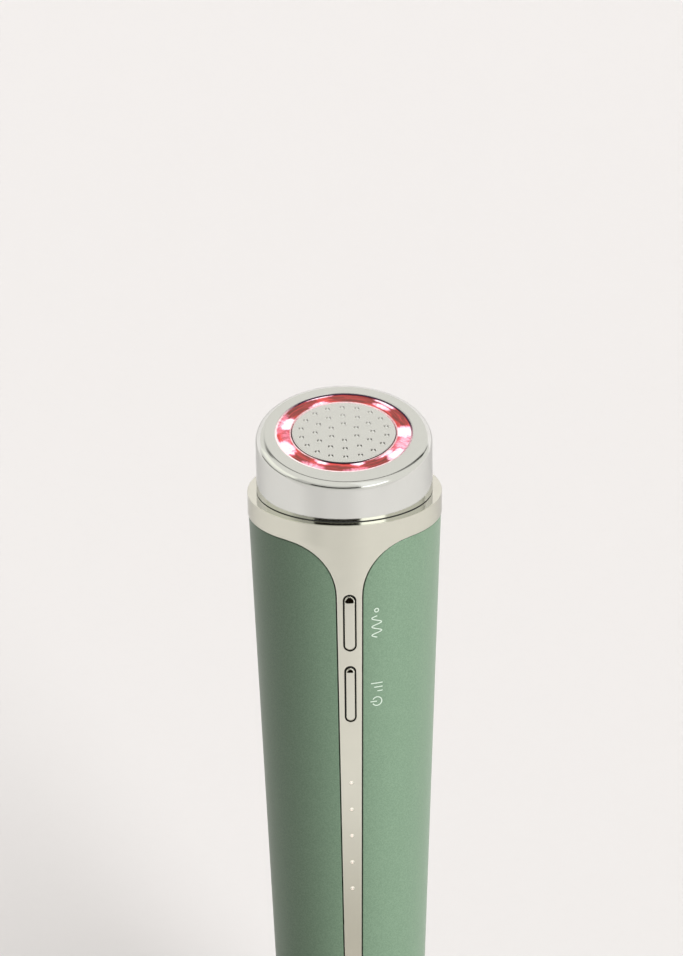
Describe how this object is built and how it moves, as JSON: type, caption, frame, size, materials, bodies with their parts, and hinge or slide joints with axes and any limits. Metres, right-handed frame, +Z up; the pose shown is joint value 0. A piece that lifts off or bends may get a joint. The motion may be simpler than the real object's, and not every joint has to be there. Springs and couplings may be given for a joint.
{
  "type": "facial toning device",
  "caption": "Tapered hand-held facial toning wand with a slanted round treatment head, a ring of red light around a bumped electrode, and a bright collar and front strip with keys and lights.",
  "frame": {"origin": "centre of the underside of the foot pad", "axes": "+Z up along the handle to the head; the control strip, keys and lights face -Y, and the treatment face slants down towards -Y"},
  "size_m": [0.042, 0.0424, 0.1813],
  "materials": {
    "green_paint": "satin metallic green lacquer on moulded plastic",
    "polished_trim": "bright, slightly warm plated metal",
    "head_chrome": "satin bright plated metal",
    "key_chrome": "bright plated metal",
    "satin_steel": "satin, with round bumps",
    "red_lens": "clear red lens over the lamps",
    "white_plastic": "matt white",
    "lamp_board_mask": "white solder mask",
    "red_lamp": "red lamps",
    "dark_plastic": "matt dark grey",
    "brass_leaf": "gold-plated spring leaf",
    "zinc_steel": "zinc plated",
    "black_resin": "moulded resin",
    "black_rubber": "silicone",
    "grey_rubber": "fine matt silicone",
    "green_board": "green solder mask",
    "white_lamp": "small white lamps",
    "clear_plastic": "clear light guide",
    "copper_winding": "enamelled copper",
    "ferrite": "ferrite",
    "blue_sleeve": "shrink sleeve",
    "battery_wrap": "shrink wrap",
    "black_foam": "closed-cell foam",
    "red_wire": "silicone insulation",
    "white_wire": "silicone insulation",
    "blue_wire": "silicone insulation",
    "ribbon_film": "polyimide film",
    "sintered_metal": "sintered heavy alloy"
  },
  "bodies": {
    "housing": {"shell": "green_paint", "trim": "polished_trim", "base_cap": "polished_trim", "foot_pad": "grey_rubber", "head_cap": "head_chrome", "centre_electrode": "satin_steel", "lens_ring": "red_lens", "light_channel": "white_plastic", "lamp_board": "lamp_board_mask", "treatment_lamps": "red_lamp", "electrode_insulator": "dark_plastic", "electrode_tag": "brass_leaf", "electrode_nut": "zinc_steel", "skin_thermistor": "black_resin", "cap_contact": "brass_leaf", "head_base": "dark_plastic", "head_seal": "black_rubber", "head_screws": "zinc_steel", "chassis": "dark_plastic", "main_board": "green_board", "board_screws": "zinc_steel", "switch_housings": "black_resin", "indicator_lamps": "white_lamp", "light_guide": "clear_plastic", "board_chips": "black_resin", "pulse_transformer": "copper_winding", "boost_inductor": "ferrite", "storage_capacitors": "blue_sleeve", "battery": "battery_wrap", "battery_pad": "black_foam", "battery_socket": "white_plastic", "ribbon_socket": "white_plastic", "battery_leads": "red_wire", "electrode_lead": "white_wire", "lamp_ribbon": "ribbon_film", "motor_can": "zinc_steel", "motor_leads": "blue_wire", "charge_board": "green_board", "usb_socket": "zinc_steel", "charge_leads": "red_wire", "base_seal": "black_rubber", "base_screws": "zinc_steel"},
    "mode_key": {"mode_button": "key_chrome", "mode_plunger": "white_plastic"},
    "power_key": {"power_button": "key_chrome", "power_plunger": "white_plastic"},
    "motor_rotor": {"motor_shaft": "zinc_steel", "motor_weight": "sintered_metal"}
  },
  "joints": [
    {"name": "mode_press", "type": "slide", "parent": "housing", "child": "mode_key", "axis": [0, 0.9993, 0.0376], "range_m": [0, 0.00035], "stiffness_N_per_m": 3000, "springref_m": -0.0002},
    {"name": "power_press", "type": "slide", "parent": "housing", "child": "power_key", "axis": [0, 0.9993, 0.0376], "range_m": [0, 0.00035], "stiffness_N_per_m": 3000, "springref_m": -0.0002},
    {"name": "motor_spin", "type": "hinge", "parent": "housing", "child": "motor_rotor", "pos_m": [0, 0.0055, 0.136], "axis": [0, 0, 1], "continuous": true}
  ]
}
